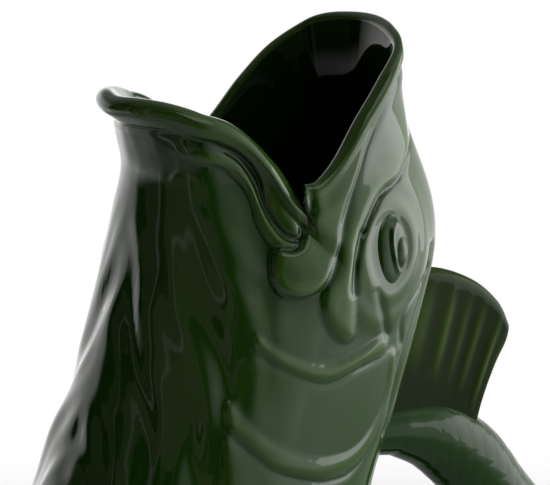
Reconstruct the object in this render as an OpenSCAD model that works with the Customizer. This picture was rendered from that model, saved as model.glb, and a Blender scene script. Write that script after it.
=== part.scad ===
// Fish-shaped gurgle jug in glazed earthenware.
// The fish stands upright with its mouth open to the sky. The lower jaw is the spout, on -X.
// The hollow tail curls up at the back, on +X, as the handle, and its fin meets the fish's back.
// Origin: on the table, midway between the belly and the bow of the tail. +Z is up.
// Left is -Y, as the hand on the handle sees it. Sizes below are measured from the foot's middle.

/* [Jug] */
// Height of the trunk, up to where the head begins
neck_h = 185; // [165:1:205]
// Height of the head, from the neck to the top of the upper jaw
head_h = 68; // [60:1:78]
// How far the spout's tip lies below the upper jaw
spout_drop = 16; // [8:1:24]
// How far the corners of the mouth lie below the upper jaw
corner_drop = 44; // [38:1:48]
// Thickness of the cast wall
wall = 4; // [3:0.5:5]
// Gap left at each luted seam
seam = 0.3; // [0.2:0.05:0.5]

/* [Foot] */
// Length of the foot, front to back
foot_l = 84; // [70:1:100]
// Width of the foot
foot_w = 66; // [56:1:78]
// Height of the foot ring
foot_h = 5; // [3:0.5:8]
// Width of the face that the foot ring stands on
foot_face = 8; // [5:0.5:11]
// Thickness of the floor above the foot ring
floor_t = 5; // [3:0.5:8]

/* [Trunk] */
// Greatest length of the trunk, belly to back
trunk_l = 106; // [96:1:120]
// Greatest width of the trunk
trunk_w = 87; // [78:1:98]
// Length of the head at the neck
head_l = 94.3; // [86:0.1:102]
// Width of the head at the neck
head_w = 79; // [72:1:88]
// How far the middle of the head lies behind the middle of the foot
head_lean = 22; // [16:0.5:28]

/* [Mouth] */
// Length of the mouth, spout tip to upper jaw
mouth_l = 86.5; // [80:0.5:94]
// Width of the mouth at its corners
mouth_w = 70; // [64:1:76]
// How far the middle of the mouth lies behind the middle of the foot
mouth_lean = 15.3; // [11:0.1:20]
// Width of the rolled lips, down the wall
lip_h = 4.5; // [3.5:0.1:5.5]
// How far the rolled lips stand out from the wall
lip_t = 1.6; // [0.8:0.1:2.4]

/* [Face] */
// Length of the eye socket along the fish
eye_h = 24.6; // [18:0.2:27]
// Width of the eye socket across the fish
eye_w = 19; // [14:0.2:21]
// Width of the socket's raised ring
ring_w = 2.7; // [2:0.1:3.4]
// How far the eyeball stands out
eyeball_t = 3.4; // [2:0.1:5]
// How far the folds of the jaw and face stand out
fold_t = 2.4; // [1.2:0.1:3.5]
// How far the gill plates stand out
plate_t = 1.9; // [1:0.1:3]

/* [Fins] */
// Length of the pectoral fin, down the flank
pectoral_l = 56; // [44:1:62]
// Width of the pectoral fin's free edge
pectoral_w = 34; // [24:1:38]
// Length of the pelvic fin, down the belly
pelvic_l = 40; // [30:1:44]
// Width of the pelvic fin's free edge
pelvic_w = 25; // [18:1:28]
// How far the side fins stand out
fin_t = 2.6; // [1.5:0.1:4]
// Depth of the grooves between fin rays
ray_depth = 0.6; // [0.3:0.1:0.9]
// Number of rays on a side fin
ray_count = 6; // [4:1:8]
// Thickness of the tail fin at its root
tail_fin_t = 10; // [8:0.5:13]
// Thickness of the tail fin at its free edge
tail_edge_t = 4.6; // [3.6:0.2:6.5]
// Height of the tail fin above the tail's middle line
tail_fin_h = 48; // [40:1:52]
// Number of rays on the tail fin
tail_ray_count = 8; // [5:1:10]

/* [Tail] */
// Farthest reach of the tail's middle line behind the foot's middle
tail_reach = 115; // [104:1:126]
// How far below the neck the tail's middle line meets the back
tail_drop = 53; // [48:1:58]
// Height of the tail's middle line where it leaves the trunk
tail_root_h = 39; // [36:1:44]
// Depth of the grip, across the finger gap
grip_h = 25.5; // [22:0.5:28]
// Width of the grip, side to side
grip_w = 19.5; // [16:0.5:23]
// Thickness of the tail's cast wall
tail_wall = 3.6; // [3:0.1:4.5]

/* [Hidden] */
glaze = [0.10, 0.17, 0.09];
glaze_light = [0.17, 0.27, 0.14];
bare_clay = [0.86, 0.82, 0.74];

// Trunk outline from the foot to the neck. Each row: height, lean of the middle, then how much
// of the foot, the trunk and the head goes into the half length, and into the half width.
trunk_shares = [
    [0.000, 0.00, 1.00, 0.00, 0.00, 1.00, 0.00, 0.00],
    [0.032, 0.00, 0.82, 0.18, 0.00, 0.81, 0.19, 0.00],
    [0.108, -0.02, 0.41, 0.59, 0.00, 0.43, 0.57, 0.00],
    [0.243, -0.09, 0.00, 1.00, 0.00, 0.05, 0.95, 0.00],
    [0.405, -0.18, 0.00, 0.83, 0.17, 0.00, 1.00, 0.00],
    [0.540, -0.17, 0.00, 0.44, 0.56, 0.00, 0.62, 0.38],
    [0.676, 0.03, 0.00, 0.22, 0.78, 0.00, 0.38, 0.62],
    [0.784, 0.40, 0.00, 0.10, 0.90, 0.00, 0.12, 0.88],
    [0.892, 0.74, 0.00, 0.02, 0.98, 0.00, 0.05, 0.95],
    [1.000, 1.00, 0.00, 0.00, 1.00, 0.00, 0.00, 1.00],
];
function blend3(r, i, a, b, c) = (r[i] * a + r[i + 1] * b + r[i + 2] * c) / 2;
trunk_rows = [for (r = trunk_shares) [r[0] * neck_h, r[1] * head_lean,
    blend3(r, 2, foot_l, trunk_l, head_l), blend3(r, 5, foot_w, trunk_w, head_w)]];
// Power of the rounded trunk sections: 1 is an ellipse, less is squarer
squareness = 0.91;

// Rim of the mouth on one side, from the upper jaw at 0 degrees to the spout's tip at 180.
// Each row: angle, place along the mouth, half width, rise above the corner, outward lean.
rim_shares = [
    [0, 0.500, 0.000, 1.000, 18], [15, 0.469, 0.429, 0.970, 17], [30, 0.419, 0.720, 0.895, 15],
    [45, 0.315, 0.886, 0.745, 12], [60, 0.211, 0.954, 0.534, 10], [75, 0.107, 0.997, 0.291, 8],
    [84, 0.025, 0.997, 0.200, 7], [90, -0.017, 0.971, 0.000, 6], [96, -0.057, 0.914, 0.145, 8],
    [105, -0.113, 0.823, 0.471, 12], [120, -0.217, 0.697, 0.826, 20], [135, -0.321, 0.617, 0.938, 28],
    [150, -0.407, 0.440, 0.985, 38], [165, -0.475, 0.246, 1.000, 45], [180, -0.500, 0.000, 1.000, 48],
];
corner_angle = 90;
jug_h = neck_h + head_h;
corner_h = jug_h - corner_drop;
rim_half = [for (r = rim_shares) [r[0], mouth_lean + r[1] * mouth_l, r[2] * mouth_w / 2,
    corner_h + r[3] * (corner_drop - (r[0] < corner_angle ? 0 : spout_drop)), r[4]]];
function mirrored(r, turn) = [turn - r[0], r[1], -r[2], r[3], r[4]];
rim_last = len(rim_half) - 1;
rim_rows = concat([for (k = [2, 1]) mirrored(rim_half[k], 0)], rim_half,
    [for (k = [1, 2]) mirrored(rim_half[rim_last - k], 360)]);
// How strongly the wall keeps its direction at the neck and at the rim
pull_share = 1.25;

// Smooth curve through rows of values, read at x, with slopes taken from the neighbours
function curve(rows, x) =
    let (last = len(rows) - 1)
    let (below = len([for (r = rows) if (r[0] <= x) 1]) - 1)
    let (i = max(0, min(last - 1, below)))
    let (a = rows[max(i - 1, 0)], b = rows[i], c = rows[i + 1], d = rows[min(i + 2, last)])
    let (h = c[0] - b[0], t = max(0, min(1, (x - b[0]) / h)))
    let (slope_b = (c - a) * h / (c[0] - a[0]), slope_c = (d - b) * h / (d[0] - b[0]))
    ease(b, slope_b, c, slope_c, t);
function ease(p, p_slope, q, q_slope, t) =
    (2 * t ^ 3 - 3 * t ^ 2 + 1) * p + (t ^ 3 - 2 * t ^ 2 + t) * p_slope
    + (3 * t ^ 2 - 2 * t ^ 3) * q + (t ^ 3 - t ^ 2) * q_slope;
function unit(v) = v / norm(v);
function mix(a, b, t) = a + (b - a) * t;
function rounded(v) = sign(v) * abs(v) ^ squareness;

// Trunk section at a height. The angle runs from the back, at 0, by the right side to the belly.
function section(a, z) =
    let (r = curve(trunk_rows, z))
    [r[1] + r[2] * rounded(cos(a)), r[3] * rounded(sin(a)), z];
function folded(a) = abs((a + 540) % 360 - 180);
function side_of(a) = (a + 540) % 360 < 180 ? -1 : 1;
function rim(a) =
    let (r = curve(rim_rows, folded(a)))
    [r[1], side_of(a) * r[2], r[3]];
function rim_lean(a) = curve(rim_rows, folded(a))[4];

// Small steps, in degrees and in levels, for slopes measured on the skin
step_a = 0.2;
step_u = 0.002;
// Outer skin. Level u is 0 at the table, 1 at the neck and 2 at the rim.
function skin(a, u) = u <= 1 ? section(a, u * neck_h) : head_skin(a, u - 1);
function head_skin(a, t) =
    let (start = section(a, neck_h), end = rim(a), reach = norm(end - start) * pull_share)
    let (up_start = unit(start - section(a, neck_h * (1 - step_u))))
    let (run = rim(a + step_a) - rim(a - step_a), out = unit([run[1], -run[0], 0]))
    let (lean = rim_lean(a), up_end = [0, 0, cos(lean)] + out * sin(lean))
    ease(start, up_start * reach, end, up_end * reach, t);
function normal(a, u) =
    let (low = min(u, 2 - step_u) - step_u)
    let (along = skin(a + step_a, u) - skin(a - step_a, u))
    let (up = skin(a, low + 2 * step_u) - skin(a, low))
    unit(cross(along, up));
function on_skin(a, u, out) = skin(a, u) + normal(a, u) * out;

// Level of the skin that lies a given width below the rim, measured across the lip
function below_rim(a, width) =
    let (run = rim(a + step_a) - rim(a - step_a), flat = norm([run[0], run[1]]) / norm(run))
    2 - width / (norm(rim(a) - section(a, neck_h)) * pull_share * flat);

// Place on the left flank, as angle and level, whose side view is the point [x, z]
function trunk_angle(x, z) =
    let (r = curve(trunk_rows, z), c = max(-1, min(1, (x - r[1]) / r[2])))
    -acos(sign(c) * abs(c) ^ (1 / squareness));
function flank(p) = p[1] <= neck_h ? [trunk_angle(p[0], p[1]), p[1] / neck_h] :
    let (a = trunk_angle(p[0], neck_h), u = 1 + (p[1] - neck_h) / (rim(a)[2] - neck_h))
    settle(p, a, min(u, 1.9), 7);
function settle(p, a, u, turns) = turns == 0 ? [a, u] :
    let (s = skin(a, u), da = (skin(a + step_a, u) - s) / step_a, du = (s - skin(a, u - step_u)) / step_u)
    let (ex = p[0] - s[0], ez = p[1] - s[2], det = da[0] * du[2] - du[0] * da[2])
    let (move_a = (ex * du[2] - ez * du[0]) / det, move_u = (ez * da[0] - ex * da[2]) / det)
    settle(p, a + max(-9, min(9, move_a)), u + max(-0.2, min(0.2, move_u)), turns - 1);

// Closed solid through rings of equal point counts. Each ring's points run back along its own
// far side, so an end is closed by pairs of points; a loop of rings closes on itself instead.
function band_faces(count, m, start, flip) = [for (i = [0 : count - 1], j = [0 : m - 1])
    let (a = start + i * m + j, b = start + i * m + (j + 1) % m)
    each flip ? [[a, a + m, b + m], [a, b + m, b]] : [[a, b + m, a + m], [a, b, b + m]]];
function cap_faces(m, start, flip) = [for (k = [0 : m / 2 - 2])
    let (a = start + k, b = start + k + 1, c = start + m - 2 - k, d = start + m - 1 - k)
    each flip ? [[a, b, c], [a, c, d]] : [[a, c, b], [a, d, c]]];
function flat(list) = [for (l = list) each l];
module loft(rings, flip = false) {
    m = len(rings[0]);
    count = len(rings) - 1;
    faces = concat(band_faces(count, m, 0, flip), cap_faces(m, 0, flip),
        cap_faces(m, count * m, !flip));
    polyhedron(flat(rings), faces);
}
module hoop(rings) {
    m = len(rings[0]);
    count = len(rings);
    faces = band_faces(count, m, 0, false);
    polyhedron(flat(rings), [for (f = faces) [for (k = f) k % (count * m)]]);
}

// Relief piece luted to the left flank. Its rows give the two long edges in side view, and
// height(s, v) how far it stands out at s along it and v across it.
module sprig(rows, height, steps, flip = false) {
    last = len(rows) - 1;
    placed = [for (i = [0 : last]) concat([i], rows[i])];
    function spot(s, v) = let (r = curve(placed, s * last)) [mix(r[1], r[3], v), mix(r[2], r[4], v)];
    sprig_rings(function (s, v) spot(s, v), height, steps, flip);
}
// The same for any spot(s, v) in side view
module sprig_rings(spot, height, steps, flip) {
    rings = [for (i = [0 : steps[0]])
        let (s = i / steps[0], places = [for (k = [0 : steps[1]]) flank(spot(s, k / steps[1]))])
        concat([for (k = [0 : steps[1]]) on_skin(places[k][0], places[k][1], seam)],
            [for (k = [steps[1] : -1 : 0])
                on_skin(places[k][0], places[k][1], seam + height(s, k / steps[1]))])];
    loft(rings, flip);
}
module right_side() {
    mirror([0, 1, 0]) children();
}

// Places on the head are shares of its length about its middle, and of its height over the neck
function head_rows(shares) = [for (r = shares)
    [head_lean + r[0] * head_l, neck_h + r[1] * head_h, head_lean + r[2] * head_l, neck_h + r[3] * head_h]];
// Places on the throat are shares of the head's length about its middle, and of the neck's height
function throat_rows(shares) = [for (r = shares)
    [head_lean + r[0] * head_l, r[1] * neck_h, head_lean + r[2] * head_l, r[3] * neck_h]];
// Least thickness of a relief piece, at its edges, as a share of how far it stands out
edge_share = 0.22;
function crown(s, v) = edge_share + (1 - edge_share) * sqrt(max(0, sin(180 * s) * sin(180 * v)));

// Body: cast shell with an open mouth, and a port into the hollow tail low at the back
columns = 44;
trunk_steps = 15;
head_steps = 9;
port_h = 24;
port_rows = [2, 3];
port_columns = [-1, 0];
port_low = tail_root_h - port_h / 2;
port_high = tail_root_h + port_h / 2;
trunk_heights = concat([foot_h, (foot_h + port_low) / 2, port_low, tail_root_h],
    [for (i = [4 : trunk_steps]) mix(port_high, neck_h, (i - 4) / (trunk_steps - 4))]);
function body_level(a, i) = i <= trunk_steps
    ? trunk_heights[i] / neck_h
    : mix(1, below_rim(a, lip_h), (i - trunk_steps) / head_steps);
function column_angle(j) = j * 360 / columns;
// Hollow of the inner corner at the floor
floor_round = 6;
function inner_point(a, i) = i == 0
    ? let (p = on_skin(a, (foot_h + floor_t) / neck_h, -wall - floor_round)) [p[0], p[1], foot_h + floor_t]
    : on_skin(a, body_level(a, i), -wall);
module body_shell() {
    rows = trunk_steps + head_steps;
    outer = [for (i = [0 : rows], j = [0 : columns - 1])
        skin(column_angle(j), body_level(column_angle(j), i))];
    inner = [for (i = [0 : rows], j = [0 : columns - 1]) inner_point(column_angle(j), i)];
    shift = len(outer);
    function in_port(i, j) = i >= port_rows[0] && i <= port_rows[1]
        && (j - port_columns[0] + columns) % columns <= port_columns[1] - port_columns[0];
    function id(i, j) = i * columns + (j + columns) % columns;
    function quad(a, b, c, d) = [[a, b, c], [a, c, d]];
    walls = [for (i = [0 : rows - 1], j = [0 : columns - 1]) if (!in_port(i, j))
        each concat(quad(id(i, j), id(i + 1, j), id(i + 1, j + 1), id(i, j + 1)),
            quad(shift + id(i, j), shift + id(i, j + 1), shift + id(i + 1, j + 1), shift + id(i + 1, j)))];
    rim_top = [for (j = [0 : columns - 1]) each quad(id(rows, j), shift + id(rows, j),
        shift + id(rows, j + 1), id(rows, j + 1))];
    low = port_rows[0];
    high = port_rows[1] + 1;
    near = port_columns[0];
    far = port_columns[1] + 1;
    port = concat(
        [for (j = [near : far - 1]) each quad(id(low, j), shift + id(low, j), shift + id(low, j + 1), id(low, j + 1))],
        [for (j = [near : far - 1]) each quad(id(high, j + 1), shift + id(high, j + 1), shift + id(high, j), id(high, j))],
        [for (i = [low : high - 1]) each quad(id(i + 1, near), shift + id(i + 1, near), shift + id(i, near), id(i, near))],
        [for (i = [low : high - 1]) each quad(id(i, far), shift + id(i, far), shift + id(i + 1, far), id(i + 1, far))]);
    bottoms = concat(cap_faces(columns, 0, true), cap_faces(columns, shift, false));
    color(glaze) polyhedron(concat(outer, inner), concat(walls, rim_top, port, bottoms));
}

// Foot: bare ring, ground flat, with a small chamfer where it meets the table
foot_chamfer = 1.2;
module foot_ring() {
    rings = [for (j = [0 : columns - 1])
        let (a = column_angle(j), top = section(a, foot_h), low = section(a, 0))
        let (out = unit([top[0], top[1] * (foot_l / foot_w), 0]))
        [low - out * foot_chamfer, low + [0, 0, foot_chamfer], top, top - out * (foot_face + foot_chamfer),
            low - out * (foot_face + foot_chamfer)]];
    color(bare_clay) hoop(rings);
}

// Lips: rolled beads along the rim, each from one corner of the mouth to the other.
// Section points: share of the lip's width below the rim, then place across the wall, from
// -1 at the inner face to 0 at the outer face, with the roll outside it.
lip_shares = [[1, -1, 0], [0.5, -1.06, 0], [0.14, -0.86, 0], [0, -0.45, 0.3], [0.1, 0, 0.7],
    [0.4, 0, 1.0], [0.75, 0, 0.85], [1, 0, 0.2]];
function lip_ring(a) = [for (p = lip_shares)
    on_skin(a, below_rim(a, lip_h * p[0] - (p[0] == 1 ? seam : 0)), p[1] * wall + p[2] * lip_t)];
// Half the angle left open between the lips at a corner
corner_gap = 1;
lip_steps = 24;
module lip(from, to) {
    loft([for (i = [0 : lip_steps]) lip_ring(mix(from, to, i / lip_steps))], true);
}
module lower_lip() {
    color(glaze_light) lip(corner_angle + corner_gap, 360 - corner_angle - corner_gap);
}
module upper_lip() {
    color(glaze_light) lip(corner_gap - corner_angle, corner_angle - corner_gap);
}

// Jaw fold: second roll under the lower lip, ending in a round lobe at the corner
jaw_fold_shares = [[-0.39, 0.650, -0.386, 0.624], [-0.335, 0.634, -0.343, 0.574], [-0.284, 0.594, -0.294, 0.526],
    [-0.242, 0.535, -0.256, 0.468], [-0.212, 0.462, -0.231, 0.391], [-0.187, 0.376, -0.22, 0.306],
    [-0.16, 0.297, -0.197, 0.244], [-0.145, 0.265, -0.161, 0.235]];
jaw_fold_steps = [13, 5];
module left_jaw_fold() {
    color(glaze_light) sprig(head_rows(jaw_fold_shares), function (s, v) fold_t * crown(s, v), jaw_fold_steps);
}

// Maxilla: paddle that hangs from the upper jaw over the corner of the mouth
maxilla_shares = [[-0.006, 0.382, 0.032, 0.418], [-0.048, 0.303, 0.015, 0.315], [-0.113, 0.253, -0.002, 0.218],
    [-0.169, 0.215, -0.027, 0.129], [-0.201, 0.156, -0.074, 0.057], [-0.199, 0.091, -0.122, 0.028],
    [-0.173, 0.050, -0.154, 0.035]];
maxilla_steps = [12, 5];
module left_maxilla() {
    color(glaze_light) sprig(head_rows(maxilla_shares), function (s, v) fold_t * crown(s, v), maxilla_steps, true);
}

// Brow band: fold in front of the eye, from the brow down to a round pad on the cheek
brow_shares = [[0.147, 0.588, 0.184, 0.559], [0.094, 0.471, 0.152, 0.449], [0.054, 0.375, 0.12, 0.368],
    [0.03, 0.272, 0.077, 0.288], [0.009, 0.169, 0.058, 0.176], [-0.019, 0.082, 0.047, 0.074],
    [-0.057, -0.006, 0.037, -0.021], [-0.065, -0.094, 0.03, -0.103], [-0.04, -0.153, 0.018, -0.159]];
brow_steps = [14, 5];
module left_brow_band() {
    color(glaze_light) sprig(head_rows(brow_shares), function (s, v) fold_t * crown(s, v), brow_steps, true);
}

// Eye: raised oval ring with a domed eyeball in it
eye_place_shares = [0.178, 0.156];
eye_at = [head_lean + eye_place_shares[0] * head_l, neck_h + eye_place_shares[1] * head_h];
eye_steps = 22;
function eye_spot(turn, half_w, half_h, out) =
    let (f = flank(eye_at + [half_w * cos(turn), half_h * sin(turn)]))
    on_skin(f[0], f[1], seam + out);
function eye_loop(inset, out) = [for (k = [0 : eye_steps - 1])
    eye_spot(k * 360 / eye_steps, eye_w / 2 - inset, eye_h / 2 - inset, out)];
module left_eye_socket() {
    loops = [eye_loop(0, 0), eye_loop(0, fold_t * edge_share), eye_loop(ring_w / 2, fold_t),
        eye_loop(ring_w, fold_t / 2), eye_loop(ring_w, 0)];
    color(glaze_light) hoop([for (k = [0 : eye_steps - 1]) [for (l = loops) l[k]]]);
}
// Eyeball profile: share of the way in from its edge, then share of its height
eyeball_shares = [[0.6, 0], [0, 0], [0, edge_share], [0.1, 0.5], [0.28, 0.78], [0.52, 0.95], [0.78, 1]];
module left_eyeball() {
    edge = ring_w + seam;
    color(glaze_light) loft([for (r = eyeball_shares)
        eye_loop(edge + (eye_w / 2 - edge) * r[0], eyeball_t * r[1])], true);
}

// Gill plates: each thin at its upper edge, with a raised rim along its lower edge
rim_place_share = 0.8;
rim_spread_share = 0.16;
plate_share = 0.25;
function plate(s, v) = edge_share + plate_share * sin(180 * s)
    + (1 - edge_share - plate_share) * exp(-((v - rim_place_share) / rim_spread_share) ^ 2) * sqrt(sin(6 + 168 * s));
cheek_shares = [[-0.305, 0.968, -0.318, 0.919], [-0.245, 0.954, -0.262, 0.911], [-0.182, 0.933, -0.186, 0.895],
    [-0.101, 0.921, -0.099, 0.885], [-0.018, 0.918, -0.01, 0.884], [0.062, 0.923, 0.073, 0.891],
    [0.126, 0.932, 0.136, 0.899]];
cheek_steps = [12, 6];
module left_cheek_plate() {
    color(glaze) sprig(throat_rows(cheek_shares), function (s, v) plate_t * plate(s, v), cheek_steps);
}
gill_shares = [[-0.352, 0.905, -0.379, 0.849], [-0.277, 0.891, -0.335, 0.806], [-0.192, 0.875, -0.25, 0.768],
    [-0.101, 0.866, -0.139, 0.744], [-0.01, 0.865, -0.019, 0.736], [0.075, 0.871, 0.104, 0.76],
    [0.138, 0.879, 0.183, 0.807], [0.174, 0.883, 0.208, 0.852]];
gill_steps = [14, 8];
module left_gill_cover() {
    color(glaze) sprig(throat_rows(gill_shares), function (s, v) plate_t * plate(s, v), gill_steps);
}

// Side fins: fans of rays that lie on the flank. The root is narrow, the free edge is rounded.
function rays(s, v) = crown(0.5 * s + 0.12, v)
    * (fin_t - ray_depth * sin(180 * s) * (1 - cos(360 * ray_count * v)) / 2);
fin_steps = [8, 12];
root_share = 0.3;
tip_share = 0.22;
// Place of a fin in side view: root's middle, tilt from straight down, length, width of the edge
module fan(at, angle, long, wide) {
    down = [sin(angle), -cos(angle)];
    over = [cos(angle), sin(angle)];
    function spread(s) = wide / 2 * mix(root_share, 1, sin(90 * s));
    function spot(s, v) = let (side = 2 * v - 1)
        at + down * long * s * (1 - tip_share * side ^ 2) + over * spread(s) * side;
    sprig_rings(function (s, v) spot(s, v), function (s, v) rays(s, v), fin_steps, true);
}
pectoral_place_shares = [0.07, 0.7];
pectoral_angle = 17;
module left_pectoral_fin() {
    at = [pectoral_place_shares[0] * trunk_l, pectoral_place_shares[1] * neck_h];
    color(glaze) fan(at, pectoral_angle, pectoral_l, pectoral_w);
}
pelvic_place_shares = [-0.3, 0.36];
pelvic_angle = 14;
module left_pelvic_fin() {
    at = [pelvic_place_shares[0] * trunk_l, pelvic_place_shares[1] * neck_h];
    color(glaze) fan(at, pelvic_angle, pelvic_l, pelvic_w);
}

// Tail: hollow tube that leaves the trunk at the port, bows out and meets the back.
// Each row: reach, height over the root, depth of the section and its width.
tail_shares = [[0.54, -0.02, 1.40, 1.50], [0.68, -0.01, 1.22, 1.28], [0.82, 0.06, 1.12, 1.16],
    [0.94, 0.19, 1.06, 1.08], [1.00, 0.37, 1.02, 1.03], [0.978, 0.546, 0.94, 1.00], [0.894, 0.70, 0.88, 0.98],
    [0.797, 0.837, 0.95, 0.95], [0.69, 0.935, 0.84, 0.92], [0.57, 0.985, 0.62, 0.87]];
tail_top = neck_h - tail_drop;
tail_rows = [for (i = [0 : len(tail_shares) - 1]) let (r = tail_shares[i])
    [i, r[0] * tail_reach, mix(tail_root_h, tail_top, r[1]), r[2] * grip_h / 2, r[3] * grip_w / 2]];
tail_last = len(tail_rows) - 1;
// Small step along the tail, for its direction
step_tail = 0.05;
function tail_run(place) = let (run = curve(tail_rows, place + step_tail) - curve(tail_rows, place - step_tail))
    unit([run[1], run[2]]);
tail_sides = 18;
tail_steps = 18;
root_deep_share = 1.56;
root_wide_share = 1.74;
top_deep_share = 0.52;
top_wide_share = 0.82;
// Ring of the tail's section at a place along it, drawn in by the wall for the bore
function tail_ring(place, inset) =
    let (r = curve(tail_rows, place), t = tail_run(place))
    [for (k = [0 : tail_sides - 1]) let (turn = (k + 0.5) * 360 / tail_sides)
        let (across = (r[3] - inset) * sin(turn))
        [r[1] - t[1] * across, (r[4] - inset) * cos(turn), r[2] + t[0] * across]];
// Ring that lies on the trunk's back, a seam away from it
function back_ring(at, half_deep, half_wide, up) = [for (k = [0 : tail_sides - 1])
    let (turn = (k + 0.5) * 360 / tail_sides, z = at + up * half_deep * sin(turn), y = half_wide * cos(turn))
    let (a = side_of(y) * sign(y) * asin(sign(y) * (abs(y) / curve(trunk_rows, z)[3]) ^ (1 / squareness)))
    on_skin(a, z / neck_h, seam)];
// Share of the tail that the bore reaches up to, under the fin
bore_end_share = 0.822;
module tail_handle() {
    deep = root_deep_share * grip_h / 2;
    wide = root_wide_share * grip_w / 2;
    outer = concat([back_ring(tail_root_h, deep, wide, 1)],
        [for (i = [0 : tail_steps]) tail_ring(i * tail_last / tail_steps, 0)],
        [back_ring(tail_top, top_deep_share * grip_h / 2, top_wide_share * grip_w / 2, -1)]);
    inner = concat([back_ring(tail_root_h, deep - tail_wall, wide - tail_wall, 1)],
        [for (i = [0 : tail_steps]) tail_ring(i * bore_end_share * tail_last / tail_steps, tail_wall)]);
    m = tail_sides;
    shift = len(outer) * m;
    mouth = [for (j = [0 : m - 1]) let (b = (j + 1) % m)
        each [[j, shift + b, shift + j], [j, b, shift + b]]];
    faces = concat(band_faces(len(outer) - 1, m, 0, true), cap_faces(m, shift - m, false),
        band_faces(len(inner) - 1, m, shift, false), cap_faces(m, shift + (len(inner) - 1) * m, true), mouth);
    color(glaze) polyhedron(concat(flat(outer), flat(inner)), faces);
}

// Tail fin: ribbed fan that stands on the tail and is luted to the fish's back.
// Each row: reach of the tip and its drop below the fin's top, from the back outwards.
tail_fin_shares = [[0.6, 0.00], [0.69, 0.055], [0.775, 0.14], [0.845, 0.265], [0.90, 0.42], [0.93, 0.58]];
// Share of the tail where the fin's root ends, and the share of the root over its top joint
fin_end_share = 0.75;
joint_share = 0.2;
// Point of the tail's outer crest, a seam away from it
function tail_crest(place) =
    let (r = curve(tail_rows, place), t = tail_run(place))
    [r[1], r[2]] + [t[1], -t[0]] * (r[3] + seam);
fin_bow_share = 0.06;
fin_columns = 28;
fin_rows = 8;
module tail_fin() {
    last = len(tail_fin_shares) - 1;
    rows = [for (i = [0 : last]) concat([i], tail_fin_shares[i])];
    function back_at(z) = let (r = curve(trunk_rows, z)) r[1] + r[2] + seam;
    joint_h = tail_top + top_deep_share * grip_h / 2 + seam;
    function root(v) = v < joint_share
        ? mix([back_at(joint_h), joint_h], tail_crest(tail_last), v / joint_share)
        : tail_crest(tail_last * mix(1, fin_end_share, (v - joint_share) / (1 - joint_share)));
    function spot(s, v) =
        let (r = curve(rows, v * last), low = root(v))
        let (top = [r[1] * tail_reach, tail_top + tail_fin_h * (1 - r[2])])
        let (p = mix(low, top, s), bow = fin_bow_share * tail_fin_h * sin(180 * s) * v)
        [max(p[0] - bow, back_at(p[1])) + (back_at(p[1]) - p[0]) * max(0, 1 - 3 * v), p[1]];
    function half(s, v) = mix(tail_fin_t, tail_edge_t, s) / 2
        * (1 - ray_depth / tail_fin_t * (1 + cos(360 * tail_ray_count * v))) * sqrt(1 - 0.5 * max(0, 10 * v - 9));
    color(glaze) loft([for (i = [0 : fin_columns])
        let (v = i / fin_columns, line = [for (k = [0 : fin_rows]) spot(k / fin_rows, v)])
        concat([for (k = [0 : fin_rows]) [line[k][0], half(k / fin_rows, v), line[k][1]]],
            [for (k = [fin_rows : -1 : 0]) [line[k][0], -half(k / fin_rows, v), line[k][1]]])], true);
}

// Origin of the finished jug, behind the foot's middle: halfway from the belly to the tail's bow
origin_x = (max([for (r = tail_rows) r[1] + r[3]]) + min([for (r = trunk_rows) r[1] - r[2]])) / 2;
module stand() {
    translate([-origin_x, 0, 0]) children();
}

stand() body_shell();
stand() foot_ring();
stand() lower_lip();
stand() upper_lip();
stand() left_jaw_fold();
stand() right_side() left_jaw_fold();  // right_jaw_fold
stand() left_maxilla();
stand() right_side() left_maxilla();  // right_maxilla
stand() left_brow_band();
stand() right_side() left_brow_band();  // right_brow_band
stand() left_eye_socket();
stand() right_side() left_eye_socket();  // right_eye_socket
stand() left_eyeball();
stand() right_side() left_eyeball();  // right_eyeball
stand() left_cheek_plate();
stand() right_side() left_cheek_plate();  // right_cheek_plate
stand() left_gill_cover();
stand() right_side() left_gill_cover();  // right_gill_cover
stand() left_pectoral_fin();
stand() right_side() left_pectoral_fin();  // right_pectoral_fin
stand() left_pelvic_fin();
stand() right_side() left_pelvic_fin();  // right_pelvic_fin
stand() tail_handle();
stand() tail_fin();
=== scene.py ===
import math

import bpy
import numpy as np
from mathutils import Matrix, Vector


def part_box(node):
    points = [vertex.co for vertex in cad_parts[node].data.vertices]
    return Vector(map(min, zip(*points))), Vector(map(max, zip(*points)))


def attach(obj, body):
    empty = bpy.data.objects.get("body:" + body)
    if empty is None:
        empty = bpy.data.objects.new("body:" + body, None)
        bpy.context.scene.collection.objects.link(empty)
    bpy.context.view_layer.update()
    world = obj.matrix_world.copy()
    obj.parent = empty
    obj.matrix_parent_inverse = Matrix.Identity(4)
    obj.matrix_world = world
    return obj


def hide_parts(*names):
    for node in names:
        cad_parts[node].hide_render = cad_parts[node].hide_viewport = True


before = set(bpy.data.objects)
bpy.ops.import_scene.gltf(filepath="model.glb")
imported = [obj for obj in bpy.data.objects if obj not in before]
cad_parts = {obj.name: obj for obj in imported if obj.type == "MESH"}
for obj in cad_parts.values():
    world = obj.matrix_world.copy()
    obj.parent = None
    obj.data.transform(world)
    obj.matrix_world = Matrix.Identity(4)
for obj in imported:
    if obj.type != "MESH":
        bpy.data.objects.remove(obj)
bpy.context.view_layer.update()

# STUDIO. A white table under a tall pale backdrop that curves round behind the jug, with a dim
# room on the camera's side, both mirrored by the glaze, and two soft lamps, right and above.
# The camera stands at the fish's left front and looks slightly down at its head.
camera_data = bpy.data.cameras.new("camera")
camera_data.sensor_fit = "HORIZONTAL"
camera_data.sensor_width = 36.0
camera_data.lens = 164.9
camera_data.clip_start = 0.05
camera_data.clip_end = 40.0
camera = bpy.data.objects.new("camera", camera_data)
bpy.context.scene.collection.objects.link(camera)
camera.location = (-0.3711, -0.5760, 0.3611)
looks_at = Vector((-0.0112, 0.0, 0.1918))
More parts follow.
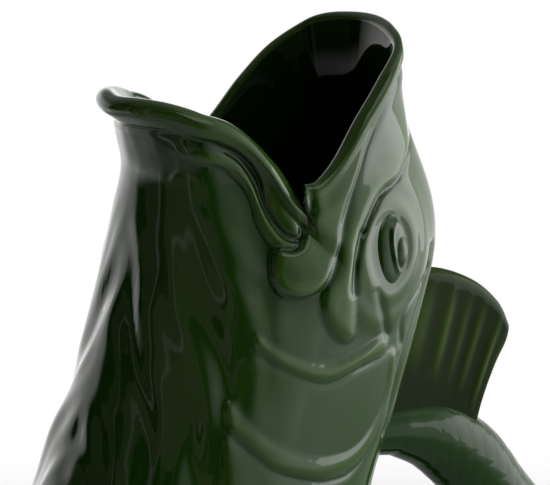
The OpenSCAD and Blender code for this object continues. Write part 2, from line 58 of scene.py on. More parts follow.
camera.rotation_euler = (looks_at - camera.location).to_track_quat("-Z", "Y").to_euler()
bpy.context.scene.camera = camera
bpy.context.scene.view_settings.view_transform = "Standard"


def add_node(tree, kind, values=None, **traits):
    """Shader node with its settings, and with a value or another node's socket for its own sockets."""
    made = tree.nodes.new("ShaderNode" + kind)
    for trait, setting in traits.items():
        setattr(made, trait, setting)
    for socket, value in (values or {}).items():
        if isinstance(value, bpy.types.NodeSocket):
            tree.links.new(value, made.inputs[socket])
        else:
            made.inputs[socket].default_value = value
    return made


def mapped(tree, value, reads, gives=(0.0, 1.0), kind="SMOOTHSTEP"):
    """A value read between two ends and given back between two others."""
    ends = {"From Min": reads[0], "From Max": reads[1], "To Min": gives[0], "To Max": gives[1]}
    made = add_node(tree, "MapRange", {"Value": value, **ends}, interpolation_type=kind)
    return made.outputs["Result"]


def grey_ramp(tree, fac, stops):
    """Eased run of greys through pairs of place and brightness, the first at place 0."""
    made = add_node(tree, "ValToRGB", {"Fac": fac})
    made.color_ramp.interpolation = "EASE"
    elements = made.color_ramp.elements
    elements.remove(elements[-1])
    for share, bright in stops:
        stop = elements.new(share) if share else elements[0]
        stop.color = (bright, bright, bright, 1.0)
    return made.outputs["Color"]


def scaled(tree, vector, scale):
    """A colour made brighter or darker by a value."""
    made = add_node(tree, "VectorMath", {"Vector": vector, "Scale": scale}, operation="SCALE")
    return made.outputs["Vector"]


def added(tree, one, other):
    """Sum of two colours."""
    return add_node(tree, "VectorMath", {0: one, 1: other}, operation="ADD").outputs["Vector"]


black, white = (0.0, 0.0, 0.0, 1.0), (1.0, 1.0, 1.0, 1.0)
# Brightness of the backdrop and of the lit table top, by share of the way round the jug.
# Two stops at one place make a sharp edge
backdrop_stops = (
    (0.0, 0.0), (0.036, 0.0), (0.046, 0.3), (0.056, 0.0), (0.19, 0.0), (0.244, 0.32), (0.286, 0.60),
    (0.328, 1.0), (0.37, 1.5), (0.41, 1.9), (0.46, 2.1), (0.50, 1.4), (0.56, 1.1), (0.64, 1.6),
    (0.75, 1.7), (0.80, 1.3), (0.842, 0.85), (0.864, 0.0), (0.935, 0.0), (0.945, 0.35), (0.955, 0.0),
    (1.0, 0.0))
table_stops = (
    (0.0, 0.0), (0.80, 0.0), (0.86, 0.95), (0.93, 0.8), (0.985, 0.1), (1.0, 1.0), (1.0, 0.0))
room_tint = (0.30, 0.31, 0.20, 1.0)
studio = bpy.data.worlds.new("studio")
bpy.context.scene.world = studio
studio.use_nodes = True
air = studio.node_tree
air.nodes.clear()
path = add_node(air, "LightPath")
ray = add_node(air, "TexCoord").outputs["Generated"]
way_round = add_node(air, "TexGradient", {"Vector": ray}, gradient_type="RADIAL").outputs["Fac"]
ray_up = add_node(air, "SeparateXYZ", {"Vector": ray}).outputs["Z"]
near_top = mapped(air, ray_up, (0.36, 0.70), (1.0, 0.35))
far_top = mapped(air, ray_up, (0.14, 0.42), (1.0, 0.15))
far_side = mapped(air, way_round, (0.47, 0.53))
top_edge = add_node(air, "Mix", {"Factor": far_side, "A": near_top, "B": far_top}).outputs["Result"]
backdrop = scaled(air, grey_ramp(air, way_round, backdrop_stops), top_edge)
looks_down = mapped(air, ray_up, (-0.06, -0.34))
table_glow = scaled(air, grey_ramp(air, way_round, table_stops), looks_down)
furniture = add_node(air, "TexVoronoi", {"Vector": ray, "Scale": 3.1, "Randomness": 0.85},
                     distance="CHEBYCHEV").outputs["Color"]
room_part = mapped(air, furniture, (0.42, 1.0), kind="LINEAR")
room = add_node(air, "Mix", {"Factor": room_part, "A": black, "B": room_tint}, data_type="RGBA")
mirrored_room = scaled(air, room.outputs["Result"], path.outputs["Is Glossy Ray"])
around = added(air, added(air, backdrop, table_glow), mirrored_room)
camera_ray = path.outputs["Is Camera Ray"]
seen = add_node(air, "Mix", {"Factor": camera_ray, "A": around, "B": white}, data_type="RGBA")
glow = add_node(air, "Background", {"Color": seen.outputs["Result"]})
add_node(air, "OutputWorld", {"Surface": glow.outputs["Background"]})


def softbox(name, at, size, power):
    """Rectangular soft lamp at a place, turned to the jug."""
    lamp = bpy.data.lights.new(name, "AREA")
    lamp.shape = "RECTANGLE"
    lamp.size, lamp.size_y = size
    lamp.energy = power
    lit = bpy.data.objects.new(name, lamp)
    bpy.context.scene.collection.objects.link(lit)
    lit.location = at
    to_jug = Vector((0.0, 0.0, 0.16)) - Vector(at)
    lit.rotation_euler = to_jug.to_track_quat("-Z", "Y").to_euler()


softbox("softbox_right", (1.46, -0.66, 0.40), (1.5, 1.1), 9.0)
softbox("softbox_over_camera", (0.0, -0.8, 1.4), (0.9, 0.7), 2.2)

# The table is there near the jug, where it takes the shadow, and fades into the white air
table_reach, fade_from, fade_to, mirrored_share = 2.4, 0.14, 0.40, 0.55
bpy.ops.mesh.primitive_circle_add(vertices=96, radius=table_reach, fill_type="NGON", location=(0, 0, 0))
floor = bpy.context.object
floor.name = "floor"
table = bpy.data.materials.new("pale_table")
table.use_nodes = True
top = table.node_tree
top.nodes.clear()
place = add_node(top, "TexCoord").outputs["Object"]
far = add_node(top, "VectorMath", {0: place}, operation="LENGTH").outputs["Value"]
camera_ray = add_node(top, "LightPath").outputs["Is Camera Ray"]
reach = mapped(top, camera_ray, (0.0, 1.0), (mirrored_share, 1.0), kind="LINEAR")
measured = add_node(top, "Math", {0: far, 1: reach}, operation="MULTIPLY").outputs["Value"]
fade = mapped(top, measured, (fade_from, fade_to))
matt = add_node(top, "BsdfDiffuse", {"Color": (0.90, 0.90, 0.90, 1.0)}).outputs["BSDF"]
clear = add_node(top, "BsdfTransparent").outputs["BSDF"]
blend = add_node(top, "MixShader", {"Fac": fade, 1: matt, 2: clear}).outputs["Shader"]
add_node(top, "OutputMaterial", {"Surface": blend})
floor.data.materials.append(table)

# BODY. Slip-cast earthenware fish with an open mouth: the lips, jaw folds, maxillas, brow bands,
# eye sockets and gill plates are all softened into one skin by the glaze, so they are one mesh.
mm = 0.001
foot_low, foot_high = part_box("foot_ring")
foot_middle = (foot_low[0] + foot_high[0]) / 2 / mm
wall, neck, foot_top, floor_high = 4.0, 185.0, 5.0, 10.0
# The throat and the spout lie past this angle on both sides, in degrees from the fish's back
throat_from = 112
# A ring of the trunk is an oval with this power on its sine and cosine, below 1 for fuller corners
fullness = 0.91
# How strongly the skin follows its direction at the neck and at the rim, as a share of the way
pull = 1.25

# Trunk, mm from the foot's middle: height, middle, half length, half width
trunk_rows = np.array([
    [0, 0, 42, 33], [6, 0, 44, 35], [20, -0.5, 48.4, 39], [45, -2, 53, 43],
    [75, -4, 51.9, 43.5], [100, -3.8, 49.6, 41.9], [125, 0.6, 48.4, 41], [145, 8.8, 47.7, 40],
    [165, 16.2, 47.2, 39.7], [185, 22, 47.1, 39.5]])
# Rim: angle from the upper jaw, place, half width, height, outward lean in degrees
rim_rows = np.array([
    [-30, 51.5, -25.2, 248.4, 15], [-15, 55.9, -15, 251.7, 17],
    [0, 58.5, 0, 252.9, 18], [15, 55.9, 15, 251.7, 17], [30, 51.5, 25.2, 248.4, 15],
    [45, 42, 31, 241.8, 12], [60, 32.6, 33.4, 232.5, 10], [72, 23.8, 34.8, 222, 8],
    [79, 17.4, 35, 216.6, 7], [84, 12.6, 34.7, 215.2, 7], [87, 13.2, 34.3, 212.4, 6],
    [90, 13.8, 34, 209, 6], [96, 10.4, 32, 213, 8], [105, 5.5, 28.8, 222, 12],
    [120, -3.5, 24.8, 231.6, 20], [135, -12.5, 22.2, 234.8, 30], [150, -20, 16.6, 236.6, 44],
    [165, -25.4, 9.8, 236.8, 54], [180, -27.6, 0, 236.2, 58],
    [195, -25.4, -9.8, 236.8, 54], [210, -20, -16.6, 236.6, 44]])


def through(rows, at):
    """Smooth curve through rows of values, read at many places along the first column."""
    at = np.asarray(at, float)
    i = np.clip(np.searchsorted(rows[:, 0], at, side="right") - 1, 0, len(rows) - 2)
    a, b, c, d = rows[np.maximum(i - 1, 0)], rows[i], rows[i + 1], rows[np.minimum(i + 2, len(rows) - 1)]
    h = (c[..., 0] - b[..., 0])[..., None]
    t = np.clip((at - b[..., 0])[..., None] / h, 0, 1)
    m = (c - a) * h / (c[..., :1] - a[..., :1])
    n = (d - b) * h / (d[..., :1] - b[..., :1])
    return eased_between(t, b, m, c, n)


def eased_between(t, start, leaves, end, arrives):
    """Curve from a start to an end, with a direction at each."""
    return ((2*t**3 - 3*t**2 + 1) * start + (t**3 - 2*t**2 + t) * leaves
            + (3*t**2 - 2*t**3) * end + (t**3 - t**2) * arrives)


def unit(v):
    """Vectors made one long."""
    return v / np.maximum(np.linalg.norm(v, axis=-1, keepdims=True), 1e-12)


def rounded(x, power):
    """A sine or cosine raised to a power, with its sign kept."""
    return np.sign(x) * np.abs(x) ** power


def smooth(x):
    """Eased step from 0 to 1."""
    x = np.clip(x, 0, 1)
    return x * x * (3 - 2 * x)


def hump(x, wide):
    """Bell that is 1 at 0 and this wide."""
    return np.exp(-(x / wide) ** 2)


def trunk_at(angle, z):
    """Ring of the trunk. Angle 0 is the fish's back, -90 its left flank, 180 its belly."""
    r = through(trunk_rows, z)
    c, s = np.cos(np.radians(angle)), np.sin(np.radians(angle))
    x, y = r[..., 1] + r[..., 2] * rounded(c, fullness), r[..., 3] * rounded(s, fullness)
    return np.stack([x, y, z + 0 * c], -1)


def rim_at(angle):
    """Place on the rim of the mouth and its outward lean."""
    folded = np.abs((angle + 540) % 360 - 180)
    r = through(rim_rows, folded)
    side = np.where((angle + 540) % 360 < 180, -1.0, 1.0)
    return np.stack([r[..., 1], side * r[..., 2], r[..., 3]], -1), np.radians(r[..., 4])


def skin_at(angle, level):
    """The fish's skin: level 0 at the table, 1 at the neck, 2 at the rim of the mouth."""
    angle, level = np.broadcast_arrays(np.asarray(angle, float), np.asarray(level, float))
    low = trunk_at(angle, np.minimum(level, 1) * neck)
    start = trunk_at(angle, np.full_like(angle, neck))
    rise = unit(start - trunk_at(angle, np.full_like(angle, neck - 0.4)))
    end, lean = rim_at(angle)
    run = rim_at(angle + 6)[0] - rim_at(angle - 6)[0]
    outward = unit(np.stack([run[..., 1], -run[..., 0], 0 * angle], -1))
    lean = lean[..., None]
    finish = np.sin(lean) * outward + np.cos(lean) * np.array([0, 0, 1.0])
    reach = np.linalg.norm(end - start, axis=-1, keepdims=True) * pull
    t = np.clip(level - 1, 0, 1)[..., None]
    return np.where(level[..., None] <= 1, low, eased_between(t, start, reach * rise, end, reach * finish))


def drawn(points, closed=False, steps=8):
    """Smooth line through a few points of the side view."""
    p = np.array(points, float)
    if closed:
        p = np.vstack([p[-1], p, p[0], p[1]])
    else:
        p = np.vstack([2 * p[0] - p[1], p, 2 * p[-1] - p[-2]])
    t = np.linspace(0, 1, steps, endpoint=False)[:, None]
    parts = [0.5 * (2*b + (c - a)*t + (2*a - 5*b + 4*c - d)*t**2 + (3*b - a - 3*c + d)*t**3)
             for a, b, c, d in zip(p[:-3], p[1:-2], p[2:-1], p[3:])]
    return np.vstack(parts + [p[-2:-1]])


def away(line, x, z):
    """Distance of many places from a line of the side view."""
    best = np.full(x.shape, 1e9)
    for a, b in zip(line[:-1], line[1:]):
        run = b - a
        t = np.clip(((x - a[0]) * run[0] + (z - a[1]) * run[1]) / max(run @ run, 1e-9), 0, 1)
        best = np.minimum(best, (x - a[0] - t * run[0]) ** 2 + (z - a[1] - t * run[1]) ** 2)
    return np.sqrt(best)


def within(line, x, z):
    """Which places lie inside a closed line of the side view."""
    inside = np.zeros(x.shape, bool)
    for a, b in zip(line[:-1], line[1:]):
        crosses = (a[1] > z) != (b[1] > z)
        if crosses.any():
            at = a[0] + (z - a[1]) / (b[1] - a[1] + 1e-12) * (b[0] - a[0])
            inside ^= crosses & (x < at)
    return inside


def near_line(line, x, z, margin):
    """Which places lie in the box round a line, grown by a margin."""
    low, high = line.min(0) - margin, line.max(0) + margin
    return (x > low[0]) & (x < high[0]) & (z > low[1]) & (z < high[1])


def swell(points, x, z, high, edge, fall=0.5):
    """Raised form with a closed outline: how far it stands out, with edges this wide.

    The edge is a quarter of an ellipse at a fall of 0.5 and fuller below it.
    """
    line = drawn(points, closed=True)
    near = near_line(line, x, z, 0)
    inside = near.copy()
    inside[near] = within(line, x[near], z[near])
    deep = np.clip(away(line, x[inside], z[inside]) / edge, 0, 1)
    out_of = np.zeros(x.shape)
    out_of[inside] = high * (1 - (1 - deep) ** 2) ** fall
    return out_of


def bead(points, x, z, high, wide):
    """Soft ridge, or groove where high is below zero, that fades out at both ends."""
    line = drawn(points)
    near = near_line(line, x, z, 3 * wide)
    out_of = np.zeros(x.shape)
    out_of[near] = high * hump(away(line, x[near], z[near]), wide)
    return out_of


# Outlines on the flank, in the side view, mm: place behind the foot's middle, then height
lower_lip = [
    (-50, 232), (-30, 232), (-24.5, 231.5), (-20, 231.5), (-15.5, 231), (-9.5, 229), (-5.5, 227),
    (-1.5, 224.5), (1.5, 221), (3.5, 216.5), (4, 212), (5, 208), (7, 205), (8.5, 203), (10.5, 202),
    (12, 203), (13.5, 206), (14, 209.5), (13.5, 214), (12.5, 220), (8, 232), (0, 246), (-20, 256),
    (-50, 256)]
jaw_fold = [
    (-19, 230), (-14, 229), (-9.5, 227.5), (-5.5, 225.5), (-2, 223), (0.5, 219.5), (2.2, 215.5),
    (3, 211.5), (4, 207.5), (5.5, 204), (7, 202), (9, 201), (10.5, 201), (10, 200), (8.5, 199.5),
    (5.5, 199.5), (3.5, 201), (1.5, 205.5), (1, 211), (-0.5, 215.5), (-4.5, 220), (-8.5, 222),
    (-13, 224.5), (-18, 228)]
upper_lip = [
    (80, 249.8), (58, 249.6), (53.6, 248), (49.8, 244.7), (45.7, 241.2), (41.1, 236.1), (36, 229.8),
    (31.9, 223.7), (28.8, 217.4), (25.5, 210.4), (23, 204), (21.4, 198), (18.5, 192.8), (14.7, 188.8),
    (10.1, 187.1), (6, 187.5), (3.1, 189.5), (2, 193.4), (2.9, 197.3), (4.6, 199.4), (7.5, 198.8),
    (10.2, 199.6), (12.4, 202.6), (13.9, 205.8), (14.5, 209.3), (14.2, 214), (13, 220), (18, 236),
    (34, 258), (80, 262)]
brow_band = [
    (52, 242), (46.5, 239), (39.5, 233), (34, 227.5), (30, 221.5), (26.8, 215), (23.8, 208.5),
    (21.4, 202.5), (19.8, 197), (18, 192.4), (15.6, 189), (14.8, 185.2), (15.6, 181), (17.9, 176.8),
    (21.1, 174), (24.2, 174), (25, 178), (24.6, 184), (24.2, 188), (25.8, 194), (29, 201.2),
    (33.8, 207.6), (37, 210.8), (43, 213), (47.4, 216.2), (52, 222)]
cheek_rim = [
    (-3.4, 178.2), (0.6, 174.3), (5.3, 171.2), (11.1, 168.9), (17.2, 167.7), (23.8, 168.6), (29, 170.2),
    (34, 172.2), (36.8, 171.6), (37, 168.6), (34.8, 167.2), (28, 166.2), (22.8, 164.6), (17.2, 163.3),
    (12.5, 164.1), (6.6, 166.8), (1.2, 170.6), (-3.2, 175.6)]
gill_rim = [
    (-11.6, 161.4), (-8.4, 157), (-5, 152.8), (1.6, 147.2), (10.8, 142.6), (21.1, 141.6), (28.8, 143.7),
    (34.8, 149.6), (38.2, 157.2), (39, 166), (41.4, 166), (41, 156), (38.2, 147.4), (33, 140.6),
    (25.3, 136.6), (15.8, 136.2), (7.5, 138.4), (-0.3, 141.6), (-4.4, 145.4), (-8.2, 149.4), (-12, 154.6)]
upper_plate = [
    (-9, 168.6), (-6, 172.6), (0, 170), (8, 165.6), (17, 163), (24, 164.6), (34, 166.6), (41, 167.4),
    (40.6, 156), (37, 147), (31, 141), (21, 139), (10, 140), (1, 144), (-6, 150), (-10.4, 156.6),
    (-10.2, 163)]
lower_plate = [
    (-13, 151.6), (-9, 148.6), (-1, 141.6), (8, 137), (18, 135), (26, 135.6), (34, 141.4), (38, 147),
    (42, 150), (40, 140), (37, 128), (30, 118), (18, 112.4), (4, 112.6), (-8, 119), (-14, 131),
    (-14.6, 141)]
slit = [(29.2, 201.4), (26.4, 195.6), (25, 190), (24.9, 186.4)]
brow_crease = [(52.5, 221.5), (47.4, 216.6), (43.4, 213.4), (37.4, 211), (34, 207.8), (29.6, 201.6)]
cheek_crease = [(32.6, 185.6), (34, 182), (35.4, 177.4), (37.2, 172.4)]
temple_crease = [(57.6, 186), (51, 182), (45, 178), (43.4, 173.8), (44.4, 168)]
gill_edge = [(58.5, 192), (57, 187), (55.2, 180), (50.4, 170), (46.4, 160), (44.6, 151), (42, 142)]
socket_middle, socket_lean = (38.4, 195.4), math.radians(15)
socket_wide, socket_high, socket_rim = 10.2, 13.4, 2.3 / 10.5


def in_socket(x, z):
    """Share of the way out from the middle of the eye socket to its edge. It leans back."""
    dx, dz = x - socket_middle[0], z - socket_middle[1]
    across = dx * math.cos(socket_lean) - dz * math.sin(socket_lean)
    along = dx * math.sin(socket_lean) + dz * math.cos(socket_lean)
    return np.sqrt((across / socket_wide) ** 2 + (along / socket_high) ** 2)


def relief_at(x, z):
    """How far the modelled features stand out of the plain skin, mm."""
    plates = swell(lower_plate, x, z, high=0.5, edge=2.6) + swell(upper_plate, x, z, high=0.4, edge=2.4)
    out_of = np.maximum(plates, swell(gill_rim, x, z, high=0.95, edge=1.7, fall=0.4))
    out_of = np.maximum(out_of, swell(cheek_rim, x, z, high=0.9, edge=1.4, fall=0.4))
    brow = swell(brow_band, x, z, high=1.45, edge=3.6) * (1 - smooth((z - 216) / 22))
    out_of += np.maximum(brow, swell(upper_lip, x, z, high=2.2, edge=1.8))
    out_of += swell(jaw_fold, x, z, high=1.3, edge=1.8) * smooth((x + 17) / 13)
    out_of += swell(lower_lip, x, z, high=1.9, edge=3.4)
    out_of += bead(slit, x, z, high=-1.1, wide=0.75)
    out_of += bead(brow_crease, x, z, high=-0.8, wide=0.9)
    out_of += bead(cheek_crease, x, z, high=-0.7, wide=1.1)
    out_of += bead(temple_crease, x, z, high=-0.7, wide=1.0)
    out_of += bead(gill_edge, x, z, high=-1.2, wide=1.7)
    ring = in_socket(x, z)
    out_of += 0.9 * hump(ring - 0.9, wide=socket_rim)
    out_of += 0.6 * hump(ring - 1.35, wide=0.28) * smooth((ring - 0.9) / 0.2)
    return out_of - 0.1 * smooth((0.86 - ring) / 0.22)


def throat_at(angle, z):
    """Fullness of the throat under the spout, mm."""
    chin_full, chin_high, lip_full, lip_high, lip_end = 2.3, 209, 2.4, 225.5, 229
    chin = chin_full * hump(z - chin_high, wide=14)
    under_lip = lip_full * hump(z - lip_high, wide=8) * (1 - smooth((z - lip_end) / 5))
    return (chin + under_lip) * smooth((np.abs(angle) - throat_from) / 34)


# Waves of the belly: height in mm, turn per mm round and up, bend, its turn round and up, start
belly_waves = (
    (0.64, 0.21, 0.15, 1.4, -0.045, 0.052, 0.6), (0.34, 0.40, 0.17, 1.7, 0.03, 0.071, 2.1),
    (0.10, 0.12, -0.28, 1.2, 0.06, 0.0, 0.4), (0.11, 0.78, 0.40, 2.2, -0.11, 0.09, 1.0))


def ripple_at(angle, x, z):
    """Slow hand-modelled waves of the belly, slanting down to the flank, mm."""
    mm_in_degree = 0.78
    s = mm_in_degree * (180 - np.abs(angle))
    wave = sum(high * np.sin(by_s * s + by_z * z + bend * np.sin(bend_s * s + bend_z * z) + start)
               for high, by_s, by_z, bend, bend_s, bend_z, start in belly_waves)
    return wave * smooth((1 - x + 0.35 * (z - 150)) / 20) * smooth((214 - z) / 24) * smooth((z - 8) / 20)


def softened(field):
    """Each value of a field on the skin eased towards its neighbours, round the jug and up it."""
    field = (np.roll(field, 1, 1) + 2 * field + np.roll(field, -1, 1)) / 4
    padded = np.pad(field, ((1, 1), (0, 0)), mode="edge")
    return (padded[:-2] + 2 * field + padded[2:]) / 4


# Columns, a few degrees or less apart, are closest on the flanks, and rows on the head, where
# the modelling is
column_fine, column_more, face_low = 0.78, 1.6, 128
trunk_rings, face_rings, head_rings, inner_head_rings, inner_trunk_rings = 50, 88, 90, 22, 14
turns = [-180.0]
while turns[-1] < 179.9:
    off_flank = smooth((abs(abs(turns[-1] + 0.5) - 92) - 44) / 14)
    turns.append(turns[-1] + column_fine + column_more * off_flank)
turns = np.array(turns[:-1])
turns = -180 + (turns + 180) * 360 / (turns[-1] + 180 + (turns[-1] - turns[-2]))
heights = np.concatenate([np.linspace(foot_top, face_low, trunk_rings)[:-1],
                          np.linspace(face_low, neck, face_rings)[:-1]])
# The rolled rim takes the topmost part of the wall, so the rows stop this far below it, mm
roll_deep = 2.6
rim_line = rim_at(turns)[0]
head_reach = pull * np.linalg.norm(rim_line - trunk_at(turns, np.full(turns.shape, neck)), axis=-1)
roll_level = 1 - roll_deep / head_reach
angle, level = np.meshgrid(turns, np.concatenate([heights / neck, np.linspace(1, 2, head_rings)]))
level = np.where(level > 1, 1 + (level - 1) * roll_level, level)
outer = skin_at(angle, level)
out_dir = unit(np.cross(np.roll(outer, -1, 1) - np.roll(outer, 1, 1), np.gradient(outer, axis=0)))
raised = softened(relief_at(outer[..., 0], outer[..., 2]))
# The glaze fills the corner of the mouth, so the modelling there is softer
corner = hump(np.abs(angle) - 91, wide=9) * smooth((level - 1.55) / 0.2)
filled = raised
for _ in range(14):
    filled = softened(filled)
raised = raised + (filled - raised) * corner
# The glaze runs thin where the relief stands above what is round it, and the throat and belly under the
# spout are made darker as painted shade
nearby = raised
for _ in range(3):
    nearby = (np.roll(nearby, 3, 1) + np.roll(nearby, -3, 1) + nearby) / 3
    padded = np.pad(nearby, ((4, 4), (0, 0)), mode="edge")
    nearby = (padded[:-8] + padded[4:-4] + padded[8:]) / 3
# Painted shade: the throat and belly side is given the darker, pooled glaze colour
painted_belly_shade = 0.2 * smooth((np.abs(angle) - 114) / 28)
thin_glaze_and_shade_map = np.clip(0.5 + 0.9 * (raised - nearby), 0, 1) - 0.25 - painted_belly_shade
# The rim of the upper jaw turns in a little
turn_in, turn_in_deep = 1.1, 7.5
rim_away = (1 + roll_level - level) * head_reach
raised -= turn_in * (1 - smooth(rim_away / turn_in_deep)) * smooth((88 - np.abs(angle)) / 10)
raised += throat_at(angle, outer[..., 2]) + ripple_at(angle, outer[..., 0], outer[..., 2])
dressed = outer + out_dir * raised[..., None]

# The rim is a half oval over the wall's thickness and the lip's, then the inner wall runs down
edge_out, edge_up = out_dir[-1], unit(rim_line - outer[-1])
for _ in range(6):
    edge_out = unit(np.roll(edge_out, 1, 0) + 2 * edge_out + np.roll(edge_out, -1, 0))
    edge_up = unit(np.roll(edge_up, 1, 0) + 2 * edge_up + np.roll(edge_up, -1, 0))
middle, half_thick = (raised[-1][:, None] - wall) / 2, (raised[-1][:, None] + wall) / 2
rounds = [rim_line - edge_up * roll_deep * (1 - math.cos(tilt))
          + edge_out * (middle + half_thick * math.sin(tilt))
          for tilt in np.radians(np.arange(78, -91, -12))]
inner_levels = np.concatenate([np.linspace(2, 1, inner_head_rings)[1:],
                               np.linspace(1, 0.1, inner_trunk_rings)[1:]])
inner_angle, inner_level = np.meshgrid(turns, inner_levels)
inner_level = np.where(inner_level > 1, 1 + (inner_level - 1) * roll_level, inner_level)
inner = skin_at(inner_angle, inner_level)
inner_out = unit(np.cross(np.roll(inner, -1, 1) - np.roll(inner, 1, 1), -np.gradient(inner, axis=0)))
inner = inner - inner_out * wall
bowl = [inner[-1] * np.array([share, share, 0]) + np.array([0, 0, floor_high + up])
        for share, up in ((0.93, 3.0), (0.82, 0.8), (0.6, 0.0), (0.3, 0.0))]
under = [outer[0] * np.array([share, share, 1]) for share in (0.3, 0.6, 0.9)]
rings = np.array(under + list(dressed) + rounds + list(inner) + bowl)


def modelled(name, points, faces):
    """Piece from points in mm from the foot's middle and its faces, turned to point outwards."""
    points = points.copy()
    points[:, 0] += foot_middle
    mesh = bpy.data.meshes.new(name)
    mesh.from_pydata((points * mm).tolist(), [], faces)
    mesh.validate()
    made = bpy.data.objects.new(name, mesh)
    bpy.context.scene.collection.objects.link(made)
    bpy.ops.object.select_all(action="DESELECT")
    made.select_set(True)
    bpy.context.view_layer.objects.active = made
    bpy.ops.object.mode_set(mode="EDIT")
    bpy.ops.mesh.select_all(action="SELECT")
    bpy.ops.mesh.normals_make_consistent(inside=False)
    bpy.ops.object.mode_set(mode="OBJECT")
    bpy.ops.object.shade_smooth()
    return made


def closed_mesh(name, rings):
    """Piece through rings of points, closed at both ends."""
    rows, cols = rings.shape[:2]
    points = np.vstack([rings.reshape(-1, 3), rings[0].mean(0), rings[-1].mean(0)])
    i, j = np.meshgrid(np.arange(rows - 1), np.arange(cols), indexing="ij")
    a, b = i * cols + j, i * cols + (j + 1) % cols
    quads = np.stack([a, b, b + cols, a + cols], -1).reshape(-1, 4)
    pole, top = rows * cols, (rows - 1) * cols
    first = [(pole, (k + 1) % cols, k) for k in range(cols)]
    last = [(pole + 1, top + k, top + (k + 1) % cols) for k in range(cols)]
    return modelled(name, points, quads.tolist() + first + last)


def mark_thin_and_painted_light(made, values):
    """Where the glaze runs thin on a piece, together with the painted shade and painted highlight laid
    into the same values, kept with its points for the glaze to read.
    """
    mark = made.data.attributes.new("thin_glaze_and_painted_light", "FLOAT", "POINT")
    mark.data.foreach_set("value", np.asarray(values, np.float32))


jug_body = closed_mesh("jug_body", rings)
columns = len(turns)
mark_thin_and_painted_light(jug_body, np.concatenate([
    np.full(len(under) * columns, 0.1), thin_glaze_and_shade_map.ravel(), np.full(len(rounds) * columns, 0.5),
    np.full((len(inner) + len(bowl)) * columns, 0.1), [0.1, 0.1]]))


def node_group(name, takes, gives):
    """Shader group with named sockets, the sockets it takes from and the sockets it gives to."""
    group = bpy.data.node_groups.new(name, "ShaderNodeTree")
    for sockets, way in ((takes, "INPUT"), (gives, "OUTPUT")):
        for label, kind in sockets:
            group.interface.new_socket(label, in_out=way, socket_type="NodeSocket" + kind)
    return group, group.nodes.new("NodeGroupInput").outputs, group.nodes.new("NodeGroupOutput").inputs


surface = (("Color", "Color"), ("Roughness", "Float"), ("Height", "Float"))
glaze_film, given, put = node_group("glaze_film", (
    ("Pooled", "Color"), ("Thin", "Color"), ("Thin Glaze And Painted Light", "Float"), ("Cloud Size", "Float"),
    ("Ripple", "Float")), surface)
place = add_node(glaze_film, "TexCoord").outputs["Object"]
cloud = add_node(glaze_film, "TexNoise", {"Vector": place, "Scale": given["Cloud Size"], "Detail": 4.0})
# Share of the paler colour, from thin glaze together with the painted shade and painted highlight in the
# mark
thin_glaze_and_light_share = add_node(glaze_film, "Math", {0: cloud.outputs["Fac"], 1: 0.5, 2: given["Thin Glaze And Painted Light"]},
                 operation="MULTIPLY_ADD", use_clamp=True)
mixes = {"Factor": thin_glaze_and_light_share.outputs["Value"], "A": given["Pooled"], "B": given["Thin"]}
tone = add_node(glaze_film, "Mix", mixes, data_type="RGBA")
glaze_film.links.new(tone.outputs["Result"], put["Color"])
fine = add_node(glaze_film, "TexNoise", {"Vector": place, "Scale": 160.0, "Detail": 2.0})
sheen = mapped(glaze_film, fine.outputs["Fac"], (0.3, 0.7), (0.035, 0.065), kind="LINEAR")
glaze_film.links.new(sheen, put["Roughness"])
swim = add_node(glaze_film, "TexNoise", {"Vector": place, "Scale": 95.0, "Detail": 1.0})
swell_by = add_node(glaze_film, "Math", {0: swim.outputs["Fac"], 1: given["Ripple"]}, operation="MULTIPLY")
glaze_film.links.new(swell_by.outputs["Value"], put["Height"])


def film_material(name, group, values, bump_deep, bump_strength=1.0):
    """Material whose colour, roughness and bump come from a shader group."""
    made = bpy.data.materials.new(name)
    made.use_nodes = True
    tree = made.node_tree
    shader = tree.nodes["Principled BSDF"]
    film = add_node(tree, "Group", values, node_tree=group)
    bump = add_node(tree, "Bump", {"Strength": bump_strength, "Distance": bump_deep})
    tree.links.new(film.outputs["Height"], bump.inputs["Height"])
    tree.links.new(film.outputs["Color"], shader.inputs["Base Color"])
    tree.links.new(film.outputs["Roughness"], shader.inputs["Roughness"])
    tree.links.new(bump.outputs["Normal"], shader.inputs["Normal"])
    return made, shader, film


def glaze(name, pooled, thin, ripple, shine):
    """Bottle-green lead glaze: dark and saturated where it pools, olive where it runs thin. The same mix
    also lays in painted shade and painted highlight where the mark carries them.
    """
    values = {"Pooled": (*pooled, 1.0), "Thin": (*thin, 1.0), "Cloud Size": 32.0, "Ripple": ripple}
    made, shader, film = film_material(name, glaze_film, values, bump_deep=0.001)
    shader.inputs["IOR"].default_value = 1.52
    shader.inputs["Specular IOR Level"].default_value = shine
    thin_mark = add_node(made.node_tree, "Attribute", attribute_name="thin_glaze_and_painted_light")
    made.node_tree.links.new(thin_mark.outputs["Fac"], film.inputs["Thin Glaze And Painted Light"])
    return made


green_glaze = glaze("green_glaze", (0.004, 0.034, 0.003), (0.039, 0.094, 0.013), ripple=0.04, shine=0.5)
# The darker colours inside the mouth are painted shade of the hollow; the weaker shine dims its reflection
inner_glaze_painted_shade = glaze("inner_glaze_painted_shade", (0.002, 0.014, 0.001), (0.008, 0.028, 0.003), ripple=0.04, shine=0.11)
jug_body.data.materials.append(green_glaze)
jug_body.data.materials.append(inner_glaze_painted_shade)
# Inside the mouth the glaze is given darker colours, as painted shade of the hollow, and less shine, but
# for the floor of the spout
first_inner = (len(under) + len(dressed) + len(rounds) - 1) * columns
under_pole = len(rings) * columns
for face in jug_body.data.polygons:
    inside = min(face.vertices) >= first_inner and max(face.vertices) != under_pole
    face.material_index = int(inside and abs(turns[face.vertices[0] % columns]) < throat_from)
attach(jug_body, "root")
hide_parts("body_shell", "lower_lip", "upper_lip", "left_jaw_fold", "right_jaw_fold",
            "left_maxilla", "right_maxilla", "left_brow_band", "right_brow_band",
            "left_eye_socket", "right_eye_socket", "left_cheek_plate", "right_cheek_plate",
            "left_gill_cover", "right_gill_cover")

